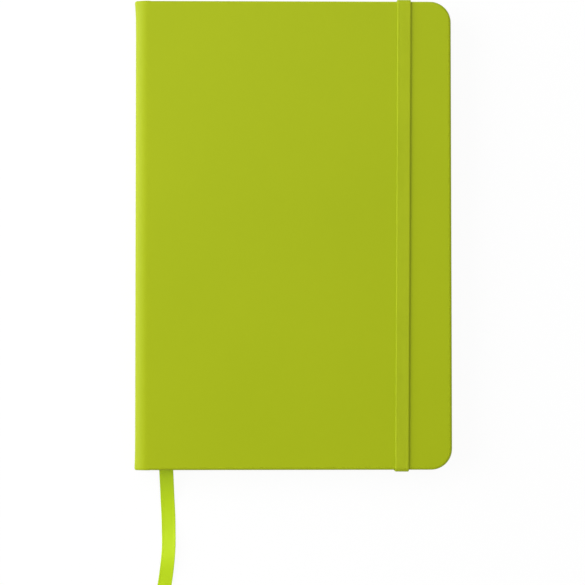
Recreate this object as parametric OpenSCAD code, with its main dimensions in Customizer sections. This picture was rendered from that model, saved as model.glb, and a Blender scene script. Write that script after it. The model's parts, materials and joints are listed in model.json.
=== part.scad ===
// Hardcover pocket notebook with an elastic closure and a ribbon marker.
// It lies on its back cover: the spine is at -X, the fore-edge at +X, the head at +Y
// and the tail at -Y. The origin is at the middle of the footprint, on the table.

/* [Notebook] */
// Width of the covers, from the spine to the fore-edge
cover_w = 141.5; // [90:0.5:200]
// Height of the covers, from head to tail
cover_h = 210; // [140:1:300]
// Thickness of the closed notebook
book_t = 14; // [11:0.5:24]
// Radius of the two rounded corners at the fore-edge
corner_r = 9.4; // [5:0.2:14]
// How far the covers stand past the pages
square_w = 3; // [1.5:0.5:4]

/* [Covers] */
// Thickness of the greyboards
board_t = 1.6; // [1.2:0.1:2.4]
// Thickness of the covering sheet
leather_t = 0.5; // [0.4:0.05:0.7]
// Width of the covering's border that is folded in over the boards
turn_in = 15; // [12:1:20]
// Rounding of the covering over the edges of a board
edge_r = 1.2; // [0.6:0.1:1.3]
// Thickness of the endpapers
endpaper_t = 0.15; // [0.1:0.05:0.3]

/* [Spine and joints] */
// Width of the soft shoulder between the spine and the flat of a cover
shoulder_w = 5.5; // [4.5:0.1:7]
// How far the shoulder drops at the spine
shoulder_drop = 2.4; // [1.8:0.1:3]
// Radius of the shoulder's tight curve at the spine
shoulder_r = 1.4; // [0.8:0.1:1.6]
// Thickness of the card that stiffens the spine
stiffener_t = 0.8; // [0.5:0.1:1]
// Thickness of the cloth glued on the back of the pages
lining_t = 0.3; // [0.2:0.05:0.4]
// Height of the cloth at each end that is left bare of it
lining_short = 2; // [1:1:10]
// Gap in each joint between the spine's covering and a cover's
joint_gap = 0.3; // [0.25:0.05:0.6]
// Air between the pages and each cover
leaf_gap = 0.1; // [0.05:0.05:0.3]

/* [Elastic band] */
// Width of the elastic
elastic_w = 6; // [4:0.5:10]
// Thickness of the elastic
elastic_t = 0.7; // [0.5:0.1:1]
// Distance from the fore-edge to the middle of the elastic
elastic_in = 22.2; // [16:0.2:40]
// How far the elastic leans towards the spine between head and tail
elastic_lean = 1.4; // [0:0.2:4]
// Length of each end that is glued under the back pastedown
tab_l = 14; // [10:1:14]
// Air between the elastic and the edges that it passes
elastic_gap = 0.15; // [0.1:0.05:0.3]

/* [Ribbon] */
// Thickness of the ribbon
ribbon_t = 0.3; // [0.2:0.05:0.4]
// Full width of the ribbon
ribbon_w = 6.3; // [4:0.1:8]
// Distance from the spine to the middle of the ribbon where it leaves the pages
mark_in = 13.6; // [11:0.1:30]

/* [Hidden] */
$fn = 64;

// How far joined pieces lap, and how far a cut runs past the faces that it goes through
eps = 0.01;
past = 1;

green = [0.67, 0.73, 0.13];
grey = [0.62, 0.60, 0.56];
ivory = [0.93, 0.91, 0.84];
paper = [0.96, 0.95, 0.91];
lime = [0.76, 0.86, 0.14];
cloth = [0.90, 0.89, 0.85];

x_spine = -cover_w / 2;
x_fore = cover_w / 2;
y_head = cover_h / 2;

// Levels in a cover that lies on its outer face
board_z = leather_t;
lip_z = leather_t + board_t;
edge_t = lip_z + leather_t;
cover_t = edge_t + endpaper_t;

// Least flat stretch left between the two rounds of a wrapped edge, and how far the
// wrapped edge laps on to the flat parts of the covering
flat_edge = 0.1;
edge_lap = 0.3;
round_r = min(edge_r, (edge_t - flat_edge) / 2);

// Each joint turns about the fold of the endpaper, at the spine edge of the pages
hinge_in = cover_t;
hinge_x = x_spine + hinge_in;
joint_reach = max(shoulder_w - hinge_in, hinge_in);
joint_r = norm([joint_reach, cover_t]);
clear_r = joint_r + joint_gap;
board_x = hinge_x + clear_r;

// The shoulder is a tight curve that runs on into a long flat one
long_r = (pow(shoulder_w - shoulder_r, 2) + pow(shoulder_drop, 2) - pow(shoulder_r, 2))
    / (2 * (shoulder_drop - shoulder_r));

// The pages fill the room between the covers
stack_z = cover_t + leaf_gap;
pages_z = stack_z + endpaper_t;
pages_t = book_t - 2 * pages_z;
pages_head = y_head - square_w;

// The card in the spine and the folded ends of the covering around it
card_x = x_spine + leather_t;
card_w = book_t - 2 * cover_t;
fold_x = card_x + stiffener_t + leather_t;

// The elastic's own place and the notches that take its glued ends
elastic_x = x_fore - elastic_in;
lean_angle = atan(elastic_lean / cover_h);
tab_play = 0.02;
tab_t = leather_t - 2 * tab_play;
notch_play = 0.15;

// Room beside and above the ribbon in the slot between two pages
slot_play = [0.3, 0.12];

// Where the ribbon is glued in the hollow of the spine, between the lining and the folded
// covering, and the height of the pages that it lies between
glue_x = hinge_x - lining_t - ribbon_t;
mark_z = book_t / 2;
mark_x = x_spine + mark_in;

// Points of the ribbon, measured from the head of the pages or from the tail of the cover.
// The fall is the share of the ribbon's first height that is left, and the lift is the
// height of the ribbon's middle where it lies on the table.
function at_head(dx, dy) = [glue_x + dx, pages_head + dy, mark_z];
function at_tail(dx, dy, fall) = [mark_x + dx, -y_head - dy, mark_z * fall];
function on_table(dx, dy, lift) = [mark_x + dx, -y_head - dy, lift + ribbon_t / 2];

// Each row holds a point, how far the ribbon's width has turned from upright (0) to level
// (90), and the share of its full width that is left where it is gathered round the head.
head_rows = [
    [at_head(0, -20), 0, 0.7],
    [at_head(0, -11), 0, 0.7],
    [at_head(0, -3), 0, 0.68],
    [at_head(0.05, -0.4), 0, 0.6],
    [at_head(0.4, 0.8), 6, 0.52],
    [at_head(1.4, 1.5), 22, 0.48],
    [at_head(3, 1.8), 48, 0.45],
    [at_head(4.6, 1.5), 76, 0.45],
    [at_head(5.65, 0.5), 88, 0.46],
    [at_head(6.1, -1), 90, 0.54],
    [at_head(6.3, -5), 90, 0.75],
    [at_head(6.5, -11), 90, 1]
];
tail_rows = [
    [at_tail(-0.1, -7, 1), 90, 1],
    [at_tail(0, -2.5, 0.99), 90, 1],
    [at_tail(0, 0.5, 0.93), 90, 1],
    [at_tail(0.05, 3.5, 0.77), 90, 1],
    [at_tail(0.1, 6.5, 0.56), 90, 1],
    [at_tail(0.15, 10, 0.33), 90, 1],
    [at_tail(0.25, 14, 0.16), 90, 1],
    [on_table(0.45, 18.5, 0.35), 90, 1],
    [on_table(0.65, 23, 0.35), 88, 1],
    [on_table(0.75, 27.5, 0.65), 84, 1],
    [on_table(0.85, 32, 1.05), 79, 1],
    [on_table(0.8, 36, 1.35), 76, 1],
    [on_table(0.55, 40, 1.45), 78, 1],
    [on_table(0.15, 44, 1.25), 82, 1],
    [on_table(-0.35, 48, 0.75), 86, 1],
    [on_table(-0.95, 52, 0.35), 89, 1],
    [on_table(-1.65, 56, 0.15), 90, 1],
    [on_table(-2.5, 60, 0.15), 90, 1],
    [on_table(-3.3, 63, 0.15), 90, 1]
];
page_steps = 8;
slot_from = head_rows[len(head_rows) - 1][0];
slot_run = tail_rows[0][0] - slot_from;
route = concat(
    head_rows,
    [for (i = [1:page_steps - 1]) [slot_from + slot_run * i / page_steps, 90, 1]],
    tail_rows
);

// Puts a cover that lies on its outer face on top of the pages
module as_front() {
    translate([0, 0, book_t]) mirror([0, 0, 1]) children();
}

// Outline of a cover, drawn in by inset, with rounded corners at the fore-edge only
module cover_outline(inset, x_from) {
    side = cover_h - 2 * corner_r;
    right_of(x_from) {
        square([cover_w - 2 * inset, side], center = true);
        translate([-corner_r, 0]) square([cover_w, cover_h - 2 * inset], center = true);
        for (s = [-1, 1]) translate([x_fore - corner_r, s * side / 2]) circle(corner_r - inset);
    }
}

// Space inside the folded border of a cover, open at the spine side
module well(inset, x_from) {
    right_of(x_from) translate([-turn_in, 0])
        square([cover_w - 2 * inset, cover_h - 2 * (turn_in + inset)], center = true);
}

// Cuts a flat shape off at x_from and keeps its right side
module right_of(x_from) {
    intersection() {
        union() children();
        translate([x_from, -cover_h]) square([2 * cover_w, 2 * cover_h]);
    }
}

module board() {
    translate([0, 0, board_z]) linear_extrude(board_t) cover_outline(leather_t, board_x);
}

// Section of the covering where it wraps a board's edge, from the edge inwards
module edge_section() {
    depth = round_r + edge_lap;
    difference() {
        intersection() {
            square([depth, edge_t]);
            union() {
                for (z = [round_r, edge_t - round_r]) translate([round_r, z]) circle(round_r);
                translate([0, round_r]) square([depth, edge_t - 2 * round_r]);
                translate([round_r, 0]) square([edge_lap, edge_t]);
            }
        }
        translate([leather_t, board_z]) square([depth, board_t]);
    }
}

// Straight stretch of the wrapped edge along +X, with the cover towards +Y
module edge_run(length) {
    rotate([90, 0, 90]) linear_extrude(length) edge_section();
}

module wrapped_edges() {
    side = cover_h - 2 * corner_r;
    for (s = [0, 1]) mirror([0, s, 0]) {
        translate([x_spine, -y_head, 0]) edge_run(cover_w - corner_r);
        translate([x_fore - corner_r, side / 2, 0]) rotate_extrude(angle = 90)
            translate([corner_r, 0]) mirror([1, 0]) edge_section();
    }
    translate([x_fore, -side / 2, 0]) rotate(90) edge_run(side);
}

// One sheet: the outer face, the wrapped edges and the border folded in over the board
module covering() {
    difference() {
        union() {
            linear_extrude(leather_t) cover_outline(round_r, x_spine);
            wrapped_edges();
            translate([0, 0, lip_z]) linear_extrude(leather_t) difference() {
                cover_outline(round_r, board_x);
                well(0, board_x - past);
            }
        }
        translate([hinge_x, 0, cover_t]) rotate([90, 0, 0])
            cylinder(r = clear_r, h = cover_h + 2 * past, center = true);
        translate([hinge_x - cover_w, -cover_h, -past])
            cube([cover_w, 2 * cover_h, cover_t + 2 * past]);
    }
}

// The endpaper's glued half: it steps down from the folded border on to the board
module pastedown() {
    difference() {
        union() {
            translate([0, 0, edge_t]) linear_extrude(endpaper_t)
                cover_outline(square_w, board_x);
            translate([0, 0, lip_z]) linear_extrude(leather_t + endpaper_t)
                well(0, board_x);
        }
        translate([0, 0, lip_z + endpaper_t]) linear_extrude(leather_t + past)
            well(endpaper_t, board_x - past);
    }
}

// Outline of the pages and flyleaves, round at the fore-edge like the covers
module leaf_outline() {
    cover_outline(square_w, hinge_x);
}

module page_block() {
    color(paper) difference() {
        translate([0, 0, pages_z]) linear_extrude(pages_t) leaf_outline();
        ribbon_slot();
    }
}

// The thin slot between two pages, a little larger than the ribbon that it holds
module ribbon_slot() {
    size = [2 * cover_h, ribbon_w + 2 * slot_play[0], ribbon_t + 2 * slot_play[1]];
    translate(slot_from + slot_run / 2) rotate(atan2(slot_run[1], slot_run[0]))
        cube(size, center = true);
}

module flyleaf() {
    linear_extrude(endpaper_t) leaf_outline();
}

module front_flyleaf() {
    color(ivory) as_front() translate([0, 0, stack_z]) flyleaf();
}

module back_flyleaf() {
    color(ivory) translate([0, 0, stack_z]) flyleaf();
}

// Cloth and glue on the back of the pages
module spine_lining() {
    length = 2 * (pages_head - lining_short);
    color(cloth) translate([hinge_x - lining_t, -length / 2, pages_z])
        cube([lining_t, length, pages_t]);
}

module spine_stiffener() {
    length = cover_h - 2 * leather_t;
    color(grey) translate([card_x, -length / 2, cover_t]) cube([stiffener_t, length, card_w]);
}

// Section of everything that the spine's covering encloses, drawn in by inset
module spine_fill(inset) {
    reach = x_spine + shoulder_w;
    tight = [x_spine + shoulder_r, shoulder_drop];
    long = [reach, long_r];
    for (s = [0, 1]) translate([0, s * book_t]) mirror([0, s]) {
        translate(tight) circle(shoulder_r - inset);
        intersection() {
            translate(long) circle(long_r - inset, $fn = 180);
            polygon([long, long + 2 * long_r * (tight - long) / norm(tight - long),
                     [reach, -long_r]]);
        }
    }
    translate([x_spine + inset, shoulder_drop])
        square([shoulder_w, book_t - 2 * shoulder_drop]);
    translate([reach, inset]) square([joint_reach, book_t - 2 * inset]);
}

// What stays with the spine: all behind the hinge lines, and a round about each
module spine_side() {
    translate([x_spine - past, -past]) square([hinge_in + past, book_t + 2 * past]);
    for (z = [cover_t, book_t - cover_t]) translate([hinge_x, z]) circle(joint_r);
}

// Runs a section of the spine along it, centred on y
module along_spine(length, y = 0) {
    translate([0, y, 0]) rotate([90, 0, 0]) linear_extrude(length, center = true) children();
}

// The covering round the spine, with its ends folded in over the card
module spine_covering() {
    color(green) union() {
        along_spine(cover_h) intersection() {
            difference() {
                spine_fill(0);
                spine_fill(leather_t);
            }
            spine_side();
        }
        for (s = [-1, 1]) {
            along_spine(turn_in, s * (y_head - turn_in / 2)) spine_fold(stiffener_t);
            along_spine(leather_t, s * (y_head - leather_t / 2)) spine_fold(0);
        }
    }
}

// Section of the folded ends, which leave room for a card of that thickness
module spine_fold(card_t) {
    intersection() {
        difference() {
            spine_fill(leather_t - eps);
            intersection() {
                spine_fill(2 * leather_t);
                translate([fold_x, 0]) square([cover_w, book_t]);
            }
            if (card_t > 0)
                translate([card_x - past, cover_t]) square([card_t + past, card_w]);
        }
        spine_side();
    }
}

module front_board() {
    color(grey) as_front() board();
}

module front_covering() {
    color(green) as_front() covering();
}

module front_pastedown() {
    color(ivory) as_front() pastedown();
}

module back_board() {
    color(grey) board();
}

// The back covering has a notch at head and tail for the elastic's glued ends
module back_covering() {
    color(green) difference() {
        covering();
        along_elastic(elastic_w + 2 * notch_play) for (s = [0, 1]) mirror([s, 0])
            translate([y_head - tab_l - notch_play, lip_z])
                square([tab_l + notch_play + past, leather_t + past]);
    }
}

module back_pastedown() {
    color(ivory) pastedown();
}

// Extrudes a side view (Y across, Z up) to a width at the elastic's place and lean
module along_elastic(width) {
    translate([elastic_x, 0, 0]) rotate(-lean_angle) rotate([90, 0, 90])
        linear_extrude(width, center = true) children();
}

// Side view of a block with its own radius at the top and at the bottom corners
module side_view(half, z0, z1, top_r, low_r) {
    translate([-half, z0 + low_r]) square([2 * half, z1 - z0 - top_r - low_r]);
    translate([top_r - half, z0 + low_r]) square([2 * (half - top_r), z1 - z0 - low_r]);
    translate([low_r - half, z0]) square([2 * (half - low_r), z1 - z0 - top_r]);
    for (s = [-1, 1]) {
        translate([s * (half - top_r), z1 - top_r]) circle(top_r);
        translate([s * (half - low_r), z0 + low_r]) circle(low_r);
    }
}

// A flat band stretched over the front cover and round both ends of the notebook
module elastic_band() {
    low = lip_z + tab_play;
    half = y_head + elastic_gap;
    top = book_t + elastic_gap;
    bend = round_r + elastic_gap;
    tab_bend = 0.2;
    color(green) along_elastic(elastic_w) difference() {
        side_view(half + elastic_t, low, top + elastic_t, bend + elastic_t, tab_bend + tab_t);
        side_view(half, low + tab_t, top, bend, tab_bend);
        translate([tab_l - y_head, low - past])
            square([2 * (y_head - tab_l), tab_t + 2 * past]);
    }
}

// Direction of travel at row i of the route
function heading(i) =
    let (a = route[max(i - 1, 0)][0], b = route[min(i + 1, len(route) - 1)][0])
    (b - a) / norm(b - a);

// Direction of the ribbon's width at row i
function across(i) =
    let (t = heading(i), level = cross([0, 0, 1], t))
    cos(route[i][1]) * cross(t, level / norm(level)) + sin(route[i][1]) * level / norm(level);

// The four corners of the ribbon's section at row i
function ribbon_ring(i) =
    let (w = across(i) * ribbon_w * route[i][2] / 2, n = cross(heading(i), across(i)) * ribbon_t / 2)
    [for (c = [[1, 1], [-1, 1], [-1, -1], [1, -1]]) route[i][0] + c[0] * w + c[1] * n];

// One flat strip, from its glued end in the spine to its cut end on the table
module ribbon_marker() {
    rows = len(route);
    points = [for (i = [0:rows - 1]) each ribbon_ring(i)];
    sides = [for (i = [0:rows - 2], k = [0:3])
        let (a = 4 * i + k, b = 4 * i + (k + 1) % 4)
        each [[a, b, b + 4], [a, b + 4, a + 4]]];
    last = 4 * (rows - 1);
    ends = [[0, 2, 1], [0, 3, 2], [last, last + 1, last + 2], [last, last + 2, last + 3]];
    color(lime) polyhedron(points, concat(sides, ends), convexity = 6);
}

page_block();
front_flyleaf();
back_flyleaf();
spine_lining();
spine_stiffener();
spine_covering();
ribbon_marker();
front_board();
front_covering();
front_pastedown();
back_board();
back_covering();
back_pastedown();
elastic_band();
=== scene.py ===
# %% [markdown]
# # A hardcover notebook with an elastic closure and a ribbon marker
#
# A notebook of this kind is a block of leaves hung in a case. The case is one sheet of soft
# imitation leather that is glued round two boards and a strip of card. The solid model of
# the notebook comes in first as a fixed frame in metres: the spine lies at -X, the
# fore-edge at +X, the head at +Y and the table at Z = 0. Each thing that shows is then
# modelled around that frame, and rides on the part that carries it.

# %% Load the frame
import json
import math
import random

import bmesh
import bpy
import numpy as np
from mathutils import Matrix, Vector


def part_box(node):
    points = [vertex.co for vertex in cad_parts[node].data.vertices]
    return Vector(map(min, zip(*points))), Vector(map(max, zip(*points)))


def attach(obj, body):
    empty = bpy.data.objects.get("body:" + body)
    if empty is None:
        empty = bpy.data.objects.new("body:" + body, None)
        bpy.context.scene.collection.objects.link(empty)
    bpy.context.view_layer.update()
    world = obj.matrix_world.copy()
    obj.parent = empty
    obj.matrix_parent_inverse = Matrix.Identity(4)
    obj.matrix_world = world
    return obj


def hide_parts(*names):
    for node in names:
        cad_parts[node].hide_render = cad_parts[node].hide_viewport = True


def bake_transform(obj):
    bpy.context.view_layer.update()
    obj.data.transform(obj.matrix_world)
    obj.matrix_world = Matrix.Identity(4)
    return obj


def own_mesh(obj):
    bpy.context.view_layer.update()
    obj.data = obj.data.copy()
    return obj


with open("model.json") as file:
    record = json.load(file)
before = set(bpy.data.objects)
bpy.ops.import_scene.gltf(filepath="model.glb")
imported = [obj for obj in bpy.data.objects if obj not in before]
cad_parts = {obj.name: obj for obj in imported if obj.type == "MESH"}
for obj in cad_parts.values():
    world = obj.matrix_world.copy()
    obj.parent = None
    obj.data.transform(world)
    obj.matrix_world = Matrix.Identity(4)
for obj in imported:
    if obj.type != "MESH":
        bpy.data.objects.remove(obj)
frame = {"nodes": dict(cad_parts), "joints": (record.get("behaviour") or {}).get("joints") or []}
nodes = frame["nodes"]
hinges = {joint["name"]: joint["pos_m"] for joint in frame["joints"]}
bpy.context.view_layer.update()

# %% [markdown]
# The places of the case are read from the frame, so that nothing has to be fitted. What the
# frame's boxes don't tell, such as a radius, is a named value in millimetres.

# %% Sizes
MM = 0.001

X_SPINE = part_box("spine_covering")[0].x
X_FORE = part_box("front_covering")[1].x
Y_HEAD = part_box("front_covering")[1].y
BOOK_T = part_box("front_covering")[1].z
LIP_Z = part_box("front_covering")[0].z
EDGE_T = BOOK_T - LIP_Z
BOARD_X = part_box("front_board")[0].x
PAGES_LOW, PAGES_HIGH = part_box("page_block")
HINGE_X = hinges["front_cover_hinge"][0]
FRONT_HINGE_Z = hinges["front_cover_hinge"][2]
MID_Z = BOOK_T / 2

CORNER_R = 9.4 * MM
EDGE_R = 1.2 * MM
LEATHER_T = 0.45 * MM
TURN_IN = 15 * MM
SQUARE = 3 * MM
NEAR = 0.02 * MM
print("case", X_SPINE, X_FORE, Y_HEAD, BOOK_T, "board from", BOARD_X)

# %% [markdown]
# The picture was taken from straight above, from a distance at which the sides of the cover
# hardly lean. A camera at 70 cm with a long lens gives that view. It stands a little towards
# the tail and the spine, which makes both a touch larger than the head and the fore-edge.

# %% Camera
PHOTO_PX = 585
MM_PER_PX = 0.4464
CAMERA_UP = 0.70
LEAN_TO_SPINE = math.radians(0.9)
LEAN_TO_TAIL = math.radians(1.55)
SENSOR_MM = 36

aim = Vector((-0.52 * MM, -25.9 * MM, BOOK_T))
view_width = PHOTO_PX * MM_PER_PX * MM
away = Vector((-math.tan(LEAN_TO_SPINE), -math.tan(LEAN_TO_TAIL), 1)).normalized()
camera_data = bpy.data.cameras.new("camera")
camera_data.sensor_width = SENSOR_MM
camera_data.lens = SENSOR_MM * CAMERA_UP / view_width
camera = bpy.data.objects.new("camera", camera_data)
camera.location = aim + away * CAMERA_UP
camera_right = (Vector((1, 0, 0)) - away * away.x).normalized()
camera.rotation_euler = Matrix(
    (camera_right, away.cross(camera_right), away)
).transposed().to_euler()
bpy.context.scene.collection.objects.link(camera)
bpy.context.scene.camera = camera
bpy.context.scene.view_settings.view_transform = "Standard"
print("lens", round(camera_data.lens, 2), "mm, view", round(view_width, 4), "m wide")

# %% [markdown]
# Every material is built from nodes. A few small helpers keep that short: one makes a node
# and sets its values, one opens a new material with its Principled shader, and the others do
# sums, blend two colours or turn a height into a bump. Values that are the same all over a
# surface are set on the shader.

# %% Helpers for nodes
def add_node(tree, kind, **values):
    """A node of that kind, with its properties and the defaults of its inputs set"""
    node = tree.nodes.new(kind)
    for name, value in values.items():
        if hasattr(node, name):
            setattr(node, name, value)
        else:
            node.inputs[name.replace("_", " ")].default_value = value
    return node


def new_material(name, **values):
    """A material, its node tree and its Principled shader"""
    material = bpy.data.materials.new(name)
    material.use_nodes = True
    tree = material.node_tree
    shader = tree.nodes["Principled BSDF"]
    for socket, value in values.items():
        shader.inputs[socket.replace("_", " ")].default_value = value
    return material, tree, shader


def new_group(name, inputs, outputs):
    """A node group with float or vector inputs and float outputs"""
    tree = bpy.data.node_groups.new(name, "ShaderNodeTree")
    tree.interface.new_socket("Vector", in_out="INPUT", socket_type="NodeSocketVector")
    for socket, value in inputs.items():
        made = tree.interface.new_socket(socket, in_out="INPUT", socket_type="NodeSocketFloat")
        made.default_value = value
    for socket in outputs:
        tree.interface.new_socket(socket, in_out="OUTPUT", socket_type="NodeSocketFloat")
    return tree, tree.nodes.new("NodeGroupInput"), tree.nodes.new("NodeGroupOutput")


def place_group(tree, group, **values):
    """The group as a node of a material, with its own values"""
    node = tree.nodes.new("ShaderNodeGroup")
    node.node_tree = group
    for name, value in values.items():
        node.inputs[name].default_value = value
    return node


def math_node(tree, operation, first, second):
    """A Math node whose two inputs are sockets or numbers"""
    node = add_node(tree, "ShaderNodeMath", operation=operation)
    for socket, value in zip(node.inputs, (first, second)):
        if isinstance(value, (int, float)):
            socket.default_value = value
        else:
            tree.links.new(value, socket)
    return node.outputs[0]


def blend_colours(tree, share, low, high):
    """A colour between two colours, by a share from 0 to 1"""
    node = add_node(tree, "ShaderNodeMix", data_type="RGBA")
    node.inputs["A"].default_value = (*low, 1)
    node.inputs["B"].default_value = (*high, 1)
    tree.links.new(share, node.inputs["Factor"])
    return node.outputs["Result"]


def spread_value(tree, value, low, high):
    """A value from 0 to 1, mapped to the range from low to high"""
    node = add_node(tree, "ShaderNodeMapRange")
    node.inputs["To Min"].default_value = low
    node.inputs["To Max"].default_value = high
    tree.links.new(value, node.inputs["Value"])
    return node.outputs["Result"]


def add_bump(tree, shader, height, strength, distance):
    """Lets a height in metres lean the shader's normal"""
    bump = add_node(tree, "ShaderNodeBump", Strength=strength, Distance=distance)
    tree.links.new(height, bump.inputs["Height"])
    tree.links.new(bump.outputs["Normal"], shader.inputs["Normal"])

# %% [markdown]
# Three effects turn up in more than one material, so each is a node group. Grain is the
# pebbled skin that imitation leather is embossed with, or the pulp of board. Cloudiness is
# the slow drift of tone that any dyed sheet has. Weave is a pair of thread directions at
# right angles, for cloth, satin and elastic.

# %% Shared effects
grain, g_in, g_out = new_group("grain", {"Per metre": 2000.0, "Roundness": 0.6}, ["Height"])
cells = add_node(grain, "ShaderNodeTexVoronoi", feature="F1")
cells.inputs["Randomness"].default_value = 0.85
grit = add_node(grain, "ShaderNodeTexNoise", Detail=3.0)
finer = math_node(grain, "MULTIPLY", g_in.outputs["Per metre"], 3.0)
grain.links.new(g_in.outputs["Vector"], cells.inputs["Vector"])
grain.links.new(g_in.outputs["Vector"], grit.inputs["Vector"])
grain.links.new(g_in.outputs["Per metre"], cells.inputs["Scale"])
grain.links.new(finer, grit.inputs["Scale"])
domes = math_node(grain, "SUBTRACT", 1.0, cells.outputs["Distance"])
domes = math_node(grain, "MULTIPLY", domes, g_in.outputs["Roundness"])
mixed = math_node(grain, "ADD", domes, math_node(grain, "MULTIPLY", grit.outputs["Fac"], 0.35))
grain.links.new(mixed, g_out.inputs["Height"])

cloudiness, c_in, c_out = new_group("cloudiness", {"Per metre": 12.0}, ["Tone"])
cloud = add_node(cloudiness, "ShaderNodeTexNoise", Detail=4.0, Roughness=0.55)
cloudiness.links.new(c_in.outputs["Vector"], cloud.inputs["Vector"])
cloudiness.links.new(c_in.outputs["Per metre"], cloud.inputs["Scale"])
cloudiness.links.new(cloud.outputs["Fac"], c_out.inputs["Tone"])

weave, w_in, w_out = new_group(
    "weave", {"Across": 8000.0, "Along": 4000.0, "Cross share": 0.5}, ["Height"]
)
split = add_node(weave, "ShaderNodeSeparateXYZ")
weave.links.new(w_in.outputs["Vector"], split.inputs["Vector"])
across_turn = math_node(weave, "MULTIPLY", split.outputs["X"], w_in.outputs["Across"])
along_turn = math_node(weave, "MULTIPLY", split.outputs["Y"], w_in.outputs["Along"])
across_wave = math_node(weave, "SINE", across_turn, 0.0)
along_wave = math_node(weave, "SINE", along_turn, 0.0)
crossing = math_node(weave, "MULTIPLY", across_wave, along_wave)
crossing = math_node(weave, "MULTIPLY", crossing, w_in.outputs["Cross share"])
threads = math_node(weave, "ADD", math_node(weave, "MULTIPLY", across_wave, 0.5), crossing)
weave.links.new(threads, w_out.inputs["Height"])
print("node groups", [g.name for g in bpy.data.node_groups])

# %% [markdown]
# The covering is a smooth imitation leather in a fresh yellow-green. From a step away it
# looks plain, so the grain is fine and shallow, and the tone drifts only a little. It is
# close to matt: a satin roughness, and a low specular level so that the green stays pure.

# %% Material of the covering
def leather_material():
    """Imitation leather: a slow drift of tone and a fine pebbled grain"""
    material, tree, shader = new_material("leather_green", Specular_IOR_Level=0.18)
    place = add_node(tree, "ShaderNodeTexCoord")
    tone = place_group(tree, cloudiness, **{"Per metre": 14.0})
    pebbles = place_group(tree, grain, **{"Per metre": 2600.0, "Roundness": 0.5})
    for node in (tone, pebbles):
        tree.links.new(place.outputs["Object"], node.inputs["Vector"])
    colour = blend_colours(
        tree, tone.outputs["Tone"], (0.388, 0.482, 0.0030), (0.424, 0.512, 0.0045)
    )
    tree.links.new(colour, shader.inputs["Base Color"])
    tree.links.new(
        spread_value(tree, tone.outputs["Tone"], 0.40, 0.50), shader.inputs["Roughness"]
    )
    add_bump(tree, shader, pebbles.outputs["Height"], 0.7, 0.07 * MM)
    return material


leather = leather_material()

# %% [markdown]
# The elastic is knitted from rubber cords side by side with green yarn thrown across them.
# Its ribs are real geometry, so the material adds only the yarn: short stitches along each
# rib. The band turns over the edges, where a pattern along Y would smear. The sum of Y and Z
# grows along the band both on top and on its upright ends, so that sum is the length here.

# %% Material of the elastic
ELASTIC_PITCH = 0.55 * MM
STITCH_PITCH = 0.75 * MM


def elastic_material():
    """Yarn in short stitches that follow the band over its turns"""
    material, tree, shader = new_material(
        "elastic_green", Roughness=0.62, Specular_IOR_Level=0.2, Sheen_Weight=0.04,
        Sheen_Roughness=0.5
    )
    place = add_node(tree, "ShaderNodeTexCoord")
    parts = add_node(tree, "ShaderNodeSeparateXYZ")
    joined = add_node(tree, "ShaderNodeCombineXYZ")
    tree.links.new(place.outputs["Object"], parts.inputs["Vector"])
    tree.links.new(parts.outputs["X"], joined.inputs["X"])
    length = math_node(tree, "ADD", parts.outputs["Y"], parts.outputs["Z"])
    tree.links.new(length, joined.inputs["Y"])
    stitches = place_group(
        tree, weave, **{"Across": math.tau / ELASTIC_PITCH, "Along": math.tau / STITCH_PITCH,
                        "Cross share": 0.8}
    )
    tone = place_group(tree, cloudiness, **{"Per metre": 60.0})
    tree.links.new(joined.outputs["Vector"], stitches.inputs["Vector"])
    tree.links.new(place.outputs["Object"], tone.inputs["Vector"])
    colour = blend_colours(
        tree, tone.outputs["Tone"], (0.388, 0.478, 0.0050), (0.438, 0.528, 0.0070)
    )
    tree.links.new(colour, shader.inputs["Base Color"])
    add_bump(tree, shader, stitches.outputs["Height"], 0.3, 0.05 * MM)
    return material


elastic_green = elastic_material()

# %% [markdown]
# The ribbon is a narrow satin: fine threads run lengthwise and float over the few that cross
# them, which gives it its shine. Its colour is brighter than the cover. The pattern follows
# the strip, so this material reads the strip's own UV map, in which X is the width and Y the
# length, both in metres.

# %% Material of the ribbon
WARP_PITCH = 0.16 * MM
WEFT_PITCH = 0.34 * MM


def ribbon_material():
    """Satin threads along the strip, laid by the strip's own UV map"""
    material, tree, shader = new_material(
        "ribbon_satin", Specular_IOR_Level=0.3, Sheen_Weight=0.05, Sheen_Roughness=0.35
    )
    place = add_node(tree, "ShaderNodeUVMap", uv_map="strip")
    threads = place_group(
        tree, weave, **{"Across": math.tau / WARP_PITCH, "Along": math.tau / WEFT_PITCH,
                        "Cross share": 0.7}
    )
    tone = place_group(tree, cloudiness, **{"Per metre": 90.0})
    for node in (threads, tone):
        tree.links.new(place.outputs["UV"], node.inputs["Vector"])
    colour = blend_colours(
        tree, tone.outputs["Tone"], (0.495, 0.700, 0.0040), (0.545, 0.755, 0.0060)
    )
    tree.links.new(colour, shader.inputs["Base Color"])
    tree.links.new(
        spread_value(tree, tone.outputs["Tone"], 0.34, 0.46), shader.inputs["Roughness"]
    )
    add_bump(tree, shader, threads.outputs["Height"], 0.25, 0.02 * MM)
    return material


ribbon_satin = ribbon_material()

# %% [markdown]
# Paper, board and cloth are matt. Paper shows a faint fibre, greyboard is recycled pulp with
# dark and light flecks, and the lining of the spine is an open cotton set in glue.

# %% Materials of paper, board and cloth
CLOTH_PITCH = 0.8 * MM


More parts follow.
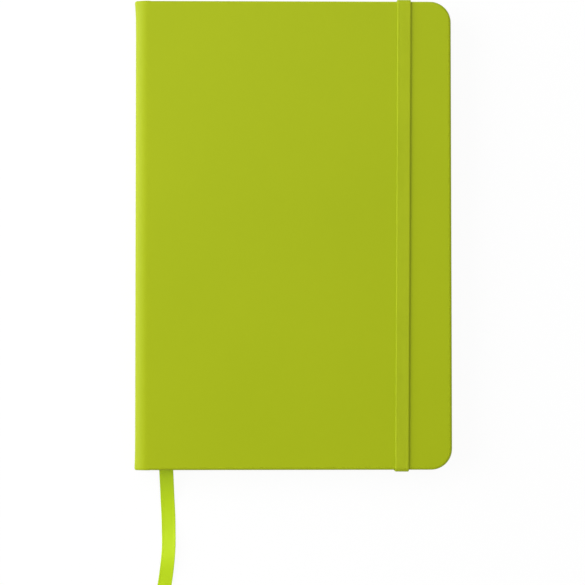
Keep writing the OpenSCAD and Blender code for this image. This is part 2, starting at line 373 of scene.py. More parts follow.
def matt_material(name, low, high, per_metre, grain_size, depth):
    """A matt material whose tone drifts and whose surface is grained"""
    material, tree, shader = new_material(name, Roughness=0.85, Specular_IOR_Level=0.2)
    place = add_node(tree, "ShaderNodeTexCoord")
    tone = place_group(tree, cloudiness, **{"Per metre": per_metre})
    pulp = place_group(tree, grain, **{"Per metre": grain_size, "Roundness": 0.3})
    for node in (tone, pulp):
        tree.links.new(place.outputs["Object"], node.inputs["Vector"])
    colour = blend_colours(tree, tone.outputs["Tone"], low, high)
    tree.links.new(colour, shader.inputs["Base Color"])
    add_bump(tree, shader, pulp.outputs["Height"], 0.3, depth)
    return material


def cloth_material():
    """Open cotton cloth, turned so that its threads lie in the upright plane of the spine"""
    material, tree, shader = new_material("lining_cotton", Roughness=0.9)
    place = add_node(tree, "ShaderNodeTexCoord")
    turn = add_node(tree, "ShaderNodeMapping")
    turn.inputs["Rotation"].default_value = (0, math.pi / 2, 0)
    threads = place_group(
        tree, weave, **{"Across": math.tau / CLOTH_PITCH, "Along": math.tau / CLOTH_PITCH,
                        "Cross share": 1.0}
    )
    tree.links.new(place.outputs["Object"], turn.inputs["Vector"])
    tree.links.new(turn.outputs["Vector"], threads.inputs["Vector"])
    colour = blend_colours(
        tree, threads.outputs["Height"], (0.62, 0.59, 0.50), (0.82, 0.80, 0.72)
    )
    tree.links.new(colour, shader.inputs["Base Color"])
    add_bump(tree, shader, threads.outputs["Height"], 0.4, 0.1 * MM)
    return material


leaf_paper = matt_material(
    "leaf_paper", (0.78, 0.74, 0.63), (0.86, 0.83, 0.73), 900.0, 9000.0, 0.02 * MM
)
end_paper = matt_material(
    "end_paper", (0.77, 0.73, 0.63), (0.84, 0.81, 0.71), 160.0, 5200.0, 0.03 * MM
)
grey_board = matt_material(
    "grey_board", (0.24, 0.225, 0.20), (0.42, 0.40, 0.36), 1400.0, 3000.0, 0.06 * MM
)
lining_cotton = cloth_material()
print("materials", len(bpy.data.materials))

# %% [markdown]
# The ribbon is a flat cord, so its route comes before everything else. It is glued upright in
# the hollow of the spine, turns flat as it gathers round the head of the pages, runs between
# two of them and falls from the tail to the table in a slow bend. Each row holds a point, how
# far the width has turned from upright (0) to level (90), and the share of the width that is
# left where the ribbon is gathered.

# %% Route of the ribbon
RIBBON_W = 6.3 * MM
RIBBON_T = 0.3 * MM
LINING_T = 0.3 * MM
MARK_X = X_SPINE + 13.6 * MM
GLUE_X = HINGE_X - LINING_T - RIBBON_T
PAGE_STEPS = 8


def distance_along(rows):
    """How far each row lies along the line, measured from the first one"""
    steps = np.linalg.norm(np.diff(rows[:, :3], axis=0), axis=1)
    return np.concatenate([[0], np.cumsum(steps)])


def at_head(dx, dy, turn, share):
    """A row measured in millimetres from the glued end's line and the head of the pages"""
    return [GLUE_X + dx * MM, PAGES_HIGH.y + dy * MM, MID_Z, turn, share]


def at_tail(dx, dy, fall):
    """A row past the tail, at a share of the height of the ribbon between the pages"""
    return [MARK_X + dx * MM, -Y_HEAD - dy * MM, MID_Z * fall, 90, 1]


def on_table(dx, dy, lift, turn):
    """A row near the table, with the ribbon's underside lifted off it"""
    return [MARK_X + dx * MM, -Y_HEAD - dy * MM, lift * MM + RIBBON_T / 2, turn, 1]


head_rows = [
    at_head(0, -20, 0, 0.7),
    at_head(0, -11, 0, 0.7),
    at_head(0, -3, 0, 0.68),
    at_head(0.05, -0.4, 0, 0.6),
    at_head(0.4, 0.8, 6, 0.52),
    at_head(1.4, 1.5, 22, 0.48),
    at_head(3, 1.8, 48, 0.45),
    at_head(4.6, 1.5, 76, 0.45),
    at_head(5.65, 0.5, 88, 0.46),
    at_head(6.1, -1, 90, 0.54),
    at_head(6.3, -5, 90, 0.75),
    at_head(6.5, -11, 90, 1),
]
tail_rows = [
    at_tail(-0.1, -7, 1),
    at_tail(0, -2.5, 0.99),
    at_tail(0, 0.5, 0.93),
    at_tail(0.05, 3.5, 0.77),
    at_tail(0.1, 6.5, 0.56),
    at_tail(0.15, 10, 0.33),
    at_tail(0.25, 14, 0.16),
    on_table(0.45, 18.5, 0.35, 90),
    on_table(0.65, 23, 0.35, 89),
    on_table(0.75, 27.5, 0.65, 86),
    on_table(0.85, 32, 1.05, 83),
    on_table(0.8, 36, 1.35, 81),
    on_table(0.55, 40, 1.45, 82),
    on_table(0.15, 44, 1.25, 85),
    on_table(-0.35, 48, 0.75, 88),
    on_table(-0.95, 52, 0.35, 89),
    on_table(-1.65, 56, 0.15, 90),
    on_table(-2.5, 60, 0.15, 90),
    on_table(-3.3, 63, 0.15, 90),
]
between = np.linspace(head_rows[-1], tail_rows[0], PAGE_STEPS + 1)[1:-1]
route = np.array([*head_rows, *between, *tail_rows])

# %% [markdown]
# A smooth curve is drawn through the rows, and the strip is built across it: a row of points
# over the width for its upper face and one for its lower face. The two woven edges are a
# little thicker than the middle. Building it point by point keeps its width and its twist
# exactly as the route says, which a bevelled curve would not.

# %% The ribbon
RIBBON_STEP = 1 * MM
SHARES_ACROSS = [-1, -0.93, -0.86, -0.6, -0.3, 0, 0.3, 0.6, 0.86, 0.93, 1]
SHARES_THICK = [0.5, 1, 0.8, 0.7, 0.7, 0.7, 0.7, 0.7, 0.8, 1, 0.5]


def smooth_rows(rows, step):
    """Rows every step metres on a smooth curve that passes through all the given ones"""
    along = distance_along(rows)
    slope = np.gradient(rows, along, axis=0)
    at = np.linspace(0, along[-1], int(along[-1] / step) + 1)
    i = np.clip(np.searchsorted(along, at, side="right") - 1, 0, len(rows) - 2)
    gap = (along[i + 1] - along[i])[:, None]
    t = (at - along[i])[:, None] / gap
    return (
        (2 * t**3 - 3 * t**2 + 1) * rows[i]
        + (t**3 - 2 * t**2 + t) * gap * slope[i]
        + (3 * t**2 - 2 * t**3) * rows[i + 1]
        + (t**3 - t**2) * gap * slope[i + 1]
    )


def unit(vectors):
    """The rows scaled to length 1"""
    return vectors / np.linalg.norm(vectors, axis=1, keepdims=True)


def make_ribbon(name):
    """The strip as an object, and the line that runs along its middle"""
    rows = smooth_rows(route, RIBBON_STEP)
    heading = unit(np.gradient(rows[:, :3], axis=0))
    level = unit(np.cross((0.0, 0.0, 1.0), heading))
    turn = np.radians(np.clip(rows[:, 3:4], 0, 90))
    across = np.cos(turn) * np.cross(heading, level) + np.sin(turn) * level
    facing = np.cross(heading, across)
    upper = list(zip(SHARES_ACROSS, SHARES_THICK))
    ring = upper + [(u, -t) for u, t in reversed(upper)]
    width = rows[:, 4:5] * RIBBON_W / 2
    rings = np.stack(
        [rows[:, :3] + u * width * across + t * RIBBON_T / 2 * facing for u, t in ring], axis=1
    )
    count, size = len(rings), len(ring)
    faces = [
        (i * size + k, i * size + (k + 1) % size, (i + 1) * size + (k + 1) % size,
         (i + 1) * size + k)
        for i in range(count - 1) for k in range(size)
    ]
    faces += [tuple(range(size))[::-1], tuple(range((count - 1) * size, count * size))]
    mesh = bpy.data.meshes.new(name)
    mesh.from_pydata(rings.reshape(-1, 3).tolist(), [], faces)
    length = distance_along(rows)
    layer = mesh.uv_layers.new(name="strip")
    for loop in mesh.loops:
        i, k = divmod(loop.vertex_index, size)
        layer.data[loop.index].uv = (ring[k][0] * RIBBON_W / 2, length[i])
    piece = bpy.data.objects.new(name, mesh)
    bpy.context.scene.collection.objects.link(piece)
    return piece, rows[:, :3]


ribbon, ribbon_line = make_ribbon("ribbon")
print("ribbon", len(ribbon.data.polygons), "faces")

# %% [markdown]
# The pieces of the case are modelled with Blender's own tools. These helpers add a primitive
# and open it in edit mode, select parts of it by their place, and apply a modifier. A part is
# chosen by a test of its lowest and highest corner, which are equal for a point.

# %% Helpers for modelling
def only(piece):
    """Selects one object and nothing else"""
    bpy.ops.object.select_all(action="DESELECT")
    piece.select_set(True)
    bpy.context.view_layer.objects.active = piece


def begin(name, size):
    """Names and sizes the primitive that was just added, and opens it with nothing selected"""
    piece = bpy.context.active_object
    only(piece)
    piece.name = name
    piece.data.name = name
    piece.scale = size
    bpy.ops.object.transform_apply(location=True, rotation=True, scale=True)
    bpy.ops.object.mode_set(mode="EDIT")
    bpy.ops.mesh.select_all(action="DESELECT")
    return piece


def add_block(name, low, high):
    """A block between two corners, open in edit mode"""
    bpy.ops.object.select_all(action="DESELECT")
    low, high = Vector(low), Vector(high)
    bpy.ops.mesh.primitive_cube_add(size=1, location=(low + high) / 2)
    return begin(name, high - low)


def add_panel(name, low, high, z):
    """A level rectangle between two corners, open in edit mode"""
    bpy.ops.object.select_all(action="DESELECT")
    bpy.ops.mesh.primitive_plane_add(
        size=1, location=((low[0] + high[0]) / 2, (low[1] + high[1]) / 2, z)
    )
    return begin(name, (high[0] - low[0], high[1] - low[1], 1))


def pick(piece, kind, test):
    """Selects the points, edges or faces whose lowest and highest corners pass the test"""
    bpy.ops.mesh.select_all(action="DESELECT")
    bpy.ops.mesh.select_mode(type=kind)
    mesh = bmesh.from_edit_mesh(piece.data)
    parts = {"VERT": mesh.verts, "EDGE": mesh.edges, "FACE": mesh.faces}[kind]
    chosen = []
    for part in parts:
        points = [part.co] if kind == "VERT" else [v.co for v in part.verts]
        low = Vector([min(p[k] for p in points) for k in range(3)])
        high = Vector([max(p[k] for p in points) for k in range(3)])
        if test(low, high):
            chosen.append(part)
    for part in chosen:
        part.select_set(True)
    mesh.select_flush_mode()
    bmesh.update_edit_mesh(piece.data)
    return len(chosen)


def cut_through(axis, place):
    """Cuts the open mesh by a plane square to an axis, and keeps both sides"""
    normal = Vector((0, 0, 0))
    normal[axis] = 1
    bpy.ops.mesh.select_all(action="SELECT")
    bpy.ops.mesh.bisect(plane_co=normal * place, plane_no=normal)
    bpy.ops.mesh.select_all(action="DESELECT")


def pull_edges(x=0.0, y=0.0, z=0.0):
    """Extrudes the selected edges by a step"""
    bpy.ops.mesh.extrude_edges_move(TRANSFORM_OT_translate={"value": (x, y, z)})


def swing_edges(centre, angle, steps):
    """Spins the selected edges about a line along Y, from +Z towards -X"""
    bpy.ops.mesh.spin(steps=steps, angle=angle, center=centre, axis=(0, 1, 0))


def close_mesh():
    """Joins doubled points of the open mesh, turns its faces outwards and leaves edit mode"""
    bpy.ops.mesh.select_all(action="SELECT")
    bpy.ops.mesh.remove_doubles(threshold=NEAR / 10)
    bpy.ops.mesh.normals_make_consistent(inside=False)
    bpy.ops.object.mode_set(mode="OBJECT")


def apply_modifier(piece, kind, **values):
    """Adds a modifier with those values to the piece and applies it"""
    only(piece)
    modifier = piece.modifiers.new(kind.lower(), kind)
    for name, value in values.items():
        setattr(modifier, name, value)
    bpy.ops.object.modifier_apply(modifier=modifier.name)


def finish_piece(piece, material, smooth=35):
    """Shades the piece smooth up to an angle and gives it its finish"""
    only(piece)
    bpy.ops.object.shade_smooth_by_angle(angle=math.radians(smooth))
    piece.data.materials.clear()
    piece.data.materials.append(material)

# %% [markdown]
# The covering is one sheet on the real case, wrapped round the boards and down the spine.
# Here it is made as two shells that meet along the middle of the spine, because each has to
# bend with its own cover. The shell starts as a block as thick as a finished board. Its two
# fore corners are bevelled round, the rims are bevelled as leather rounds a board's edge,
# the side towards the spine is opened, and the inside is cut out to leave a folded border.

# %% The covering over the front board
SHOULDER_W = 5.5 * MM
SHOULDER_DROP = 2.4 * MM
SHOULDER_R = 1.4 * MM
CORNER_STEPS = 14
RIM_STEPS = 5
SUPPORT = 0.25 * MM
CUTS_FROM_END = [1.3, 2.5, 4.5, 7.5, 15, 30]


def board_shell(name):
    """The sheet round the front board, with its folded border, open towards the spine"""
    piece = add_block(name, (BOARD_X, -Y_HEAD, LIP_Z), (X_FORE, Y_HEAD, BOOK_T))
    pick(piece, "EDGE", lambda low, high: low.x > X_FORE - NEAR and high.z - low.z > NEAR)
    bpy.ops.mesh.bevel(offset=CORNER_R, segments=CORNER_STEPS, affect="EDGES")
    pick(piece, "FACE", lambda low, high: high.x < BOARD_X + NEAR)
    bpy.ops.mesh.delete(type="FACE")
    pick(piece, "EDGE", lambda low, high: high.z - low.z < NEAR and high.x > BOARD_X + NEAR)
    bpy.ops.mesh.bevel(offset=EDGE_R, segments=RIM_STEPS, affect="EDGES")
    pick(piece, "FACE", lambda low, high: high.z - low.z < NEAR)
    bpy.ops.mesh.inset(thickness=SUPPORT, use_boundary=False)
    cut_through(0, X_FORE - TURN_IN)
    for distance in CUTS_FROM_END:
        for side in (-1, 1):
            cut_through(1, side * (Y_HEAD - distance * MM))
    pick(piece, "FACE", lambda low, high: (
        high.z < LIP_Z + NEAR and high.x < X_FORE - TURN_IN + NEAR
        and high.y < Y_HEAD - TURN_IN + NEAR and low.y > TURN_IN - Y_HEAD - NEAR))
    bpy.ops.mesh.delete(type="FACE")
    return piece


leather_front = board_shell("leather_front")
print("board shell", len(bmesh.from_edit_mesh(leather_front.data).faces), "faces")

# %% [markdown]
# The open side is carried on over the joint and round the spine. Past the board the border
# lies on the sheet with nothing between them, so the chain of edges is squeezed. Then it is
# spun round the shoulder, first on a long radius and then on a tight one, spread again to
# take the card of the spine, and drawn down to the middle of the spine.

# %% The covering over the joint and the spine
LONG_R = (
    ((SHOULDER_W - SHOULDER_R) ** 2 + SHOULDER_DROP**2 - SHOULDER_R**2)
    / (2 * (SHOULDER_DROP - SHOULDER_R))
)
LONG_ANGLE = math.atan2(SHOULDER_W - SHOULDER_R, LONG_R - SHOULDER_DROP)
SHOULDER_STEPS = 7
GLUED_T = 0.5 * MM
CARD_T = 0.8 * MM
CARD_PLAY = 0.05 * MM
FOLD_DEPTH = 2 * GLUED_T
CARD_DEPTH = FOLD_DEPTH + CARD_T
SPINE_FLARE = {1: 0.55 * MM, -1: 0.28 * MM}
FLARE_REACH = 3.2 * MM


def spine_shell(piece):
    """Carries the shell's open side over the joint and down to the middle of the spine"""
    reach = X_SPINE + SHOULDER_W
    shoulder_z = BOOK_T - SHOULDER_DROP
    card_top = FRONT_HINGE_Z + CARD_PLAY
    pick(piece, "EDGE", lambda low, high: high.x < BOARD_X + NEAR)
    pull_edges(x=(reach - BOARD_X) / 2)
    squeeze = FOLD_DEPTH / EDGE_T
    bpy.ops.transform.resize(value=(1, 1, squeeze), center_override=(reach, 0, BOOK_T))
    pull_edges(x=(reach - BOARD_X) / 2)
    swing_edges((reach, 0, BOOK_T - LONG_R), LONG_ANGLE, SHOULDER_STEPS)
    tight_angle = math.pi / 2 - LONG_ANGLE
    swing_edges((X_SPINE + SHOULDER_R, 0, shoulder_z), tight_angle, SHOULDER_STEPS)
    for _ in range(2):
        pull_edges(z=(card_top - shoulder_z) / 2)
    spread = CARD_DEPTH / FOLD_DEPTH
    bpy.ops.transform.resize(value=(spread, 1, 1), center_override=(X_SPINE, 0, MID_Z))
    for _ in range(3):
        pull_edges(z=(MID_Z - card_top) / 3)


def flare_spine(piece):
    """Lets the spine's corners stand out a little, where the folded leather is thick"""
    for v in piece.data.vertices:
        side = 1 if v.co.y > 0 else -1
        inward = Y_HEAD - abs(v.co.y)
        near_spine = max(0.0, min(1.0, (X_SPINE + SHOULDER_R - v.co.x) / SHOULDER_R))
        fade = math.exp(-((inward / FLARE_REACH) ** 1.5) / 2)
        v.co.x -= SPINE_FLARE[side] * near_spine * fade


spine_shell(leather_front)
close_mesh()
flare_spine(leather_front)
chain = [v.co for v in leather_front.data.vertices if v.co.z < MID_Z + NEAR]
print("end of the front shell: x", round(min(p.x for p in chain), 5), "to",
      round(max(p.x for p in chain), 5), "of", len(chain), "points")

# %% [markdown]
# The back of the case is the same shell turned over, as its mirror image in the level plane
# through the middle of the book. Mirroring turns a mesh inside out, so its faces are flipped
# back. Then both sheets get their thickness, inwards. The ends of the elastic lie in two
# shallow notches in the back's border, cut by a block as wide as the elastic and turned with
# its lean.

# %% The covering of the back
ELASTIC_FROM_FORE = 21.8 * MM
ELASTIC_W = 6.05 * MM
ELASTIC_DRIFT = 1.4 * MM
TAB_L = 14 * MM
NOTCH_PLAY = 0.15 * MM
NOTCH_OVERCUT = 0.1 * MM
ELASTIC_X = X_FORE - ELASTIC_FROM_FORE
ELASTIC_LEAN = math.atan(ELASTIC_DRIFT / (2 * Y_HEAD))


def mirrored_copy(piece, name):
    """A copy of the piece, mirrored in the level plane through the middle of the book"""
    copy = piece.copy()
    copy.data = piece.data.copy()
    copy.name = name
    copy.data.name = name
    bpy.context.scene.collection.objects.link(copy)
    only(copy)
    bpy.ops.object.mode_set(mode="EDIT")
    bpy.ops.mesh.select_all(action="SELECT")
    bpy.ops.transform.resize(value=(1, 1, -1), center_override=(0, 0, MID_Z))
    bpy.ops.mesh.flip_normals()
    bpy.ops.object.mode_set(mode="OBJECT")
    return copy


def lay_on_elastic(piece):
    """Moves a piece that was built about the middle of the book to the elastic's place"""
    lean = Matrix.Rotation(-ELASTIC_LEAN, 4, "Z")
    piece.data.transform(Matrix.Translation((ELASTIC_X, 0, 0)) @ lean)


def cut_notch(piece, side):
    """Cuts the notch for one end of the elastic: side 1 is the head, -1 the tail"""
    half = ELASTIC_W / 2 + NOTCH_PLAY
    reach = TAB_L + NOTCH_PLAY
    block = add_block(
        "notch",
        (-half, side * Y_HEAD - reach, EDGE_T - LEATHER_T - NOTCH_OVERCUT),
        (half, side * Y_HEAD + reach, EDGE_T + LEATHER_T),
    )
    bpy.ops.object.mode_set(mode="OBJECT")
    lay_on_elastic(block)
    apply_modifier(piece, "BOOLEAN", operation="DIFFERENCE", solver="EXACT", object=block)
    bpy.data.objects.remove(block)


leather_back = mirrored_copy(leather_front, "leather_back")
for shell in (leather_front, leather_back):
    apply_modifier(shell, "SOLIDIFY", thickness=LEATHER_T, offset=-1)
for side in (-1, 1):
    cut_notch(leather_back, side)
for shell in (leather_front, leather_back):
    finish_piece(shell, leather)
    print(shell.name, len(shell.data.polygons), "faces")

# %% [markdown]
# Each endpaper is one folded sheet: half of it is glued down inside the cover over the folded
# border, and the other half lies free as the first leaf. It starts as a rectangle with two
# round corners. A copy above it becomes the glued half, the fold between them is spun along
# their spine edges, and the glued half is pressed down on to the board inside the border.
# Over the joint it lies close to the free half, so that it clears the spine of an open book.

# %% Endpapers
PAPER_T = 0.14 * MM
FOLD_R = 0.075 * MM
FOLD_Z = PAGES_HIGH.z + 0.15 * MM
FOLD_STEPS = 6
LEAF_CORNER_R = CORNER_R - SQUARE
PAPER_CORNER_STEPS = 10
JOINT_RISE = 0.6 * MM
PRESS_SLOPE = 1.2 * MM
PRESS_DEPTH = 0.5 * MM


def endpaper(name):
    """The front endpaper, folded about a line along the hinge"""
    piece = add_panel(
        name, (HINGE_X, -PAGES_HIGH.y), (PAGES_HIGH.x, PAGES_HIGH.y), FOLD_Z - FOLD_R
    )
    pick(piece, "VERT", lambda low, high: low.x > 0)
    bpy.ops.mesh.bevel(offset=LEAF_CORNER_R, segments=PAPER_CORNER_STEPS, affect="VERTICES")
    well_y = Y_HEAD - TURN_IN
    well_x = X_FORE - TURN_IN
    for place in (BOARD_X - JOINT_RISE, BOARD_X, well_x):
        cut_through(0, place)
    for place in (-well_y, well_y):
        cut_through(1, place)
    bpy.ops.mesh.select_all(action="SELECT")
    bpy.ops.mesh.duplicate_move(TRANSFORM_OT_translate={"value": (0, 0, 2 * FOLD_R)})
    pick(piece, "EDGE", lambda low, high: high.x < HINGE_X + NEAR and high.z < FOLD_Z)
    swing_edges((HINGE_X, 0, FOLD_Z), -math.pi, FOLD_STEPS)
    bpy.ops.mesh.select_all(action="SELECT")
    bpy.ops.mesh.remove_doubles(threshold=NEAR / 10)
    pick(piece, "VERT", lambda low, high: low.z > FOLD_Z and low.x > BOARD_X - NEAR)
    glued_z = LIP_Z - PAPER_T / 2 - NEAR / 4
    bpy.ops.transform.translate(value=(0, 0, glued_z - FOLD_Z - FOLD_R))
    pick(piece, "FACE", lambda low, high: (
        low.z > FOLD_Z and low.x > BOARD_X - NEAR and high.x < well_x + NEAR
        and low.y > -well_y - NEAR and high.y < well_y + NEAR))
    bpy.ops.mesh.inset(thickness=PRESS_SLOPE)
    bpy.ops.transform.translate(value=(0, 0, PRESS_DEPTH))
    close_mesh()
    return piece


endpaper_front = endpaper("endpaper_front")
endpaper_back = mirrored_copy(endpaper_front, "endpaper_back")
for sheet in (endpaper_front, endpaper_back):
    apply_modifier(sheet, "SOLIDIFY", thickness=PAPER_T, offset=0)
    finish_piece(sheet, end_paper, smooth=50)
    print(sheet.name, len(sheet.data.polygons), "faces")

# %% [markdown]
# The pages are modelled as the eighty leaves that they are. One leaf is made with its round
# corners and copied. The leaves are folded and sewn eight at a time, so those inside a
# section start a little further from the spine, and no two were trimmed quite alike. The
# ribbon holds the block open by its own thickness near the spine, and the leaves close up
# again towards the fore-edge.

# %% Pages
LEAVES = 80
SECTION = 8
MARK_GAP = 0.36 * MM
TRIM_PLAY = 0.07 * MM
FOLD_STEP = 0.05 * MM
LEAF_SHARE = 0.86
LEAF_AIR = 0.01 * MM
LEAF_CORNER_STEPS = 8
SEED = 7
seeded = random.Random(SEED)


def one_leaf(name, thickness):
    """A leaf that lies on the level plane Z = 0, with its two fore corners round"""
    piece = add_panel(name, (PAGES_LOW.x, PAGES_LOW.y), (PAGES_HIGH.x, PAGES_HIGH.y), 0)
    pick(piece, "VERT", lambda low, high: low.x > 0)
    bpy.ops.mesh.bevel(offset=LEAF_CORNER_R, segments=LEAF_CORNER_STEPS, affect="VERTICES")
    bpy.ops.mesh.select_all(action="SELECT")
    bpy.ops.mesh.extrude_region_move(TRANSFORM_OT_translate={"value": (0, 0, thickness)})
    close_mesh()
    return piece


def leaf_height(index, pitch):
    """The height of a leaf's underside: half of them lie below the ribbon"""
    lift = MARK_GAP if index >= LEAVES / 2 else 0
    return PAGES_LOW.z + index * pitch + lift


def close_up(points):
    """Lets the leaves on both sides of the ribbon meet again at the fore-edge"""
    share = np.clip((points[:, 0] - HINGE_X) / (PAGES_HIGH.x - HINGE_X), 0, 1)
    half = PAGES_HIGH.z - MID_Z
    apart = points[:, 2] - MID_Z
    left = np.clip(1 - (np.abs(apart) - MARK_GAP / 2) / (half - MARK_GAP / 2), 0, 1)
    points[:, 2] -= np.sign(apart) * left * share * (MARK_GAP / 2 - LEAF_AIR)
    return points


def page_stack(name):
    """All the leaves, copied from the first one and joined into one object"""
    pitch = (PAGES_HIGH.z - PAGES_LOW.z - MARK_GAP) / LEAVES
    first = one_leaf(name, pitch * LEAF_SHARE)
    leaves = [first]
    for _ in range(LEAVES - 1):
        leaf = first.copy()
        leaf.data = first.data.copy()
        bpy.context.scene.collection.objects.link(leaf)
        leaves.append(leaf)
    for index, leaf in enumerate(leaves):
        deep = min(index % SECTION, SECTION - 1 - index % SECTION) * FOLD_STEP
        fore, head, tail = [seeded.uniform(0, TRIM_PLAY) for _ in range(3)]
        for v in leaf.data.vertices:
            v.co.x += deep if v.co.x < 0 else -fore
            v.co.y += tail if v.co.y <= 0 else -head
            v.co.z += leaf_height(index, pitch)
        leaf.select_set(True)
    bpy.context.view_layer.objects.active = first
    bpy.ops.object.join()
    points = np.array([v.co for v in first.data.vertices])
    first.data.vertices.foreach_set("co", close_up(points).astype(np.float32).ravel())
    first.data.update()
    return first


pages = page_stack("pages")
finish_piece(pages, leaf_paper, smooth=30)
print("pages", len(pages.data.polygons), "faces, top", max(v.co.z for v in pages.data.vertices))

# %% [markdown]
# The elastic is a flat band that runs over the front cover, down past both ends and in under
# the back's endpaper, where it is glued. Its section is a strip of small ribs between two
# thicker edges. The section is modelled upright at one glued end and then extruded along the
# band, and spun at each of its four turns, as it would be drawn by hand.

# %% The elastic
ELASTIC_T = 0.7 * MM
TAB_T = 0.46 * MM
TAB_SUNK = 0.48 * MM
TAB_Z = EDGE_T - TAB_SUNK
RIBS = 9
RIB_POINTS = 4
RIB_DEPTH = 0.05 * MM
EDGE_CORD = 0.75 * MM
BAND_GAP = 0.15 * MM
LIFT = 0.06 * MM
LOOP_Y = Y_HEAD + BAND_GAP
LOOP_TOP = BOOK_T + LIFT
RIM_TURN = EDGE_R + BAND_GAP
TAB_TURN = 0.5 * MM
RIM_TURN_STEPS = 12
TAB_TURN_STEPS = 8
BAND_STEPS = 24
LEG_STEPS = 4
TAB_STEPS = 6


def face_height(x):
    """The share of the band's thickness at a place across its width: ribs and round edges"""
    inner = ELASTIC_W / 2 - EDGE_CORD
    if abs(x) > inner:
        out = (abs(x) - inner) / EDGE_CORD
        return 0.5 + 0.5 * math.sqrt(max(0.0, 1 - out**2))
    rib = abs(math.sin(math.pi * RIBS * (x + inner) / (2 * inner)))
    return 1 - 2 * RIB_DEPTH / ELASTIC_T * (1 - rib)


def elastic_section(name):
    """The glued end of the band at the tail: an upright strip of faces with ribs"""
    bpy.ops.object.select_all(action="DESELECT")
    bpy.ops.mesh.primitive_grid_add(
        x_subdivisions=RIBS * RIB_POINTS + 8, y_subdivisions=1, size=1,
        location=(0, TAB_L - Y_HEAD, TAB_Z + TAB_T / 2), rotation=(math.pi / 2, 0, 0)
    )
    piece = begin(name, (ELASTIC_W, TAB_T, 1))
    for v in bmesh.from_edit_mesh(piece.data).verts:
        v.co.z = TAB_Z + TAB_T / 2 + (v.co.z - TAB_Z - TAB_T / 2) * face_height(v.co.x)
    bpy.ops.mesh.select_all(action="SELECT")
    return piece


def pull_band(y=0.0, z=0.0, steps=1):
    """Extrudes the selected end of the band by a step"""
    for _ in range(steps):
        bpy.ops.mesh.extrude_region_move(
            TRANSFORM_OT_translate={"value": (0, y / steps, z / steps)}
        )


def turn_band(y, z, steps):
    """Spins the selected end a quarter turn about a line along X"""
    bpy.ops.mesh.spin(steps=steps, angle=math.pi / 2, center=(0, y, z), axis=(1, 0, 0))


def elastic_band(name):
    """The whole band, from the glued end at the tail over the cover to the one at the head"""
    piece = elastic_section(name)
    thicker = ELASTIC_T / TAB_T
    tab_turn_y = LOOP_Y - TAB_TURN
    tab_turn_z = TAB_Z + TAB_T + TAB_TURN
    rim_turn_y = LOOP_Y - RIM_TURN
    rim_turn_z = LOOP_TOP - RIM_TURN
    tab = tab_turn_y - (Y_HEAD - TAB_L)
    leg = rim_turn_z - tab_turn_z
    taper = leg / 6
    pull_band(y=-tab, steps=TAB_STEPS)
    turn_band(-tab_turn_y, tab_turn_z, TAB_TURN_STEPS)
    pull_band(z=taper)
    bpy.ops.transform.resize(value=(1, thicker, 1), center_override=(0, -LOOP_Y, 0))
    pull_band(z=leg - taper, steps=LEG_STEPS)
    turn_band(-rim_turn_y, rim_turn_z, RIM_TURN_STEPS)
    pull_band(y=2 * rim_turn_y, steps=BAND_STEPS)
    turn_band(rim_turn_y, rim_turn_z, RIM_TURN_STEPS)
    pull_band(z=taper - leg, steps=LEG_STEPS)
    pull_band(z=-taper)
    bpy.ops.transform.resize(value=(1, 1 / thicker, 1), center_override=(0, LOOP_Y, 0))
    turn_band(tab_turn_y, tab_turn_z, TAB_TURN_STEPS)
    pull_band(y=-tab, steps=TAB_STEPS)
    close_mesh()
    lay_on_elastic(piece)
    return piece


elastic = elastic_band("elastic")
finish_piece(elastic, elastic_green, smooth=70)
spots = [v.co for v in elastic.data.vertices]
print("elastic", len(elastic.data.polygons), "faces, y", round(min(p.y for p in spots), 5),
      round(max(p.y for p in spots), 5), "z", round(min(p.z for p in spots), 5),
      round(max(p.z for p in spots), 5))

# %% [markdown]
# The ribbon and the pages are tied to the book block, which carries them, and the elastic to
# the back cover. Each piece takes the place of its plain solid in the frame, which is hidden.
# The covering and the endpapers cross a joint, and here they stay where they were built. The
# elastic gets a mesh of its own.

finish_piece(ribbon, ribbon_satin, smooth=60)
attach(ribbon, "book_block")
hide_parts("ribbon_marker")
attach(elastic, "back_cover")
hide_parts("elastic_band")
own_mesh(elastic)
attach(pages, "book_block")
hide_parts("page_block")
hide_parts("front_covering", "spine_covering")
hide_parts("back_covering")
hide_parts("front_flyleaf", "front_pastedown")
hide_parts("back_flyleaf", "back_pastedown")
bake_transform(leather_front)
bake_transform(leather_back)
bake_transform(endpaper_front)
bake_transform(endpaper_back)
for name, material in {
    "front_board": grey_board, "back_board": grey_board, "spine_stiffener": grey_board,
    "spine_lining": lining_cotton,
}.items():
    nodes[name].data.materials.clear()
    nodes[name].data.materials.append(material)

# %% [markdown]
# The stage is a pale floor under soft lamps. A large lamp stands at the left and a little
# towards the head, about 30 degrees high: it lights the rounded spine more than the flat
# cover, and throws the elastic's thin shadow to its right. The room overhead is dim, so that
# the leather shows no haze. The white of the background comes from the floor's and the
# world's own colour as the camera sees it, not from more light.

# %% Stage
FLOOR_HALF = 3.0
FLOOR_DROP = 0.2 * MM
FLOOR_GLOW = 0.92
FLOOR_WHITE = 1.02
WALL_TOP = 0.35
SIDE_LIGHT = 0.4
CEILING_LOOK = 0.2
WHITE = (1.0, 1.0, 1.0, 1.0)


def add_lamp(name, place, size, watts):
    """A square soft lamp that faces the middle of the book"""
    data = bpy.data.lights.new(name, "AREA")
    data.size = size
    data.energy = watts
    lamp = bpy.data.objects.new(name, data)
    lamp.location = place
    lamp.rotation_euler = Vector(place).to_track_quat("Z", "Y").to_euler()
    bpy.context.scene.collection.objects.link(lamp)


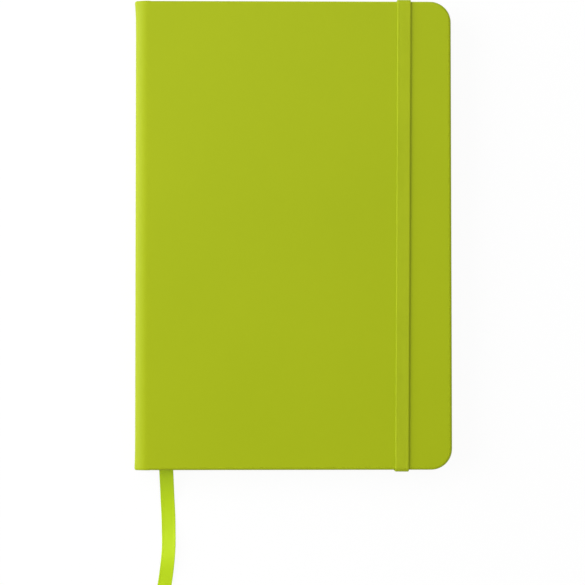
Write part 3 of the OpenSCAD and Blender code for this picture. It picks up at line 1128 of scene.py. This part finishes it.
def seen_directly(tree):
    """1 where a camera, glossy or transmitted ray meets the surface first, else 0"""
    path = add_node(tree, "ShaderNodeLightPath")
    seen = math_node(
        tree, "MAXIMUM", path.outputs["Is Camera Ray"], path.outputs["Is Glossy Ray"]
    )
    return math_node(tree, "MAXIMUM", seen, path.outputs["Is Transmission Ray"])


def floor_material():
    """A matt floor that mostly glows white where it is seen directly, and keeps shadows"""
    material, tree, shader = new_material(
        "floor_white", Base_Color=(0.85, 0.85, 0.85, 1.0), Roughness=0.9, Specular_IOR_Level=0.0
    )
    glow = add_node(tree, "ShaderNodeEmission", Color=WHITE, Strength=FLOOR_WHITE)
    mix = add_node(tree, "ShaderNodeMixShader")
    share = math_node(tree, "MULTIPLY", seen_directly(tree), FLOOR_GLOW)
    tree.links.new(share, mix.inputs["Fac"])
    tree.links.new(shader.outputs["BSDF"], mix.inputs[1])
    tree.links.new(glow.outputs["Emission"], mix.inputs[2])
    tree.links.new(mix.outputs["Shader"], tree.nodes["Material Output"].inputs["Surface"])
    return material


def white_world(strength, ceiling):
    """A weak white light all round, that looks white behind the object and dim overhead"""
    world = bpy.data.worlds.new("studio")
    world.use_nodes = True
    tree = world.node_tree
    background = tree.nodes["Background"]
    background.inputs["Color"].default_value = WHITE
    place = add_node(tree, "ShaderNodeTexCoord")
    parts = add_node(tree, "ShaderNodeSeparateXYZ")
    tree.links.new(place.outputs["Generated"], parts.inputs["Vector"])
    upward = math_node(tree, "SUBTRACT", parts.outputs["Z"], WALL_TOP)
    upward = spread_value(tree, upward, 0.0, ceiling - 1.0)
    look = math_node(tree, "ADD", upward, 1.0 - strength)
    look = math_node(tree, "MULTIPLY", look, seen_directly(tree))
    look = math_node(tree, "ADD", look, strength)
    tree.links.new(look, background.inputs["Strength"])
    bpy.context.scene.world = world


floor = add_panel("floor", (-FLOOR_HALF, -FLOOR_HALF), (FLOOR_HALF, FLOOR_HALF), -FLOOR_DROP)
bpy.ops.object.mode_set(mode="OBJECT")
floor.data.materials.append(floor_material())
white_world(SIDE_LIGHT, CEILING_LOOK)
add_lamp("key", (-1.1, 0.25, 0.6), 1.15, 18)
add_lamp("top", (0.0, 0.45, 1.1), 0.9, 2.3)
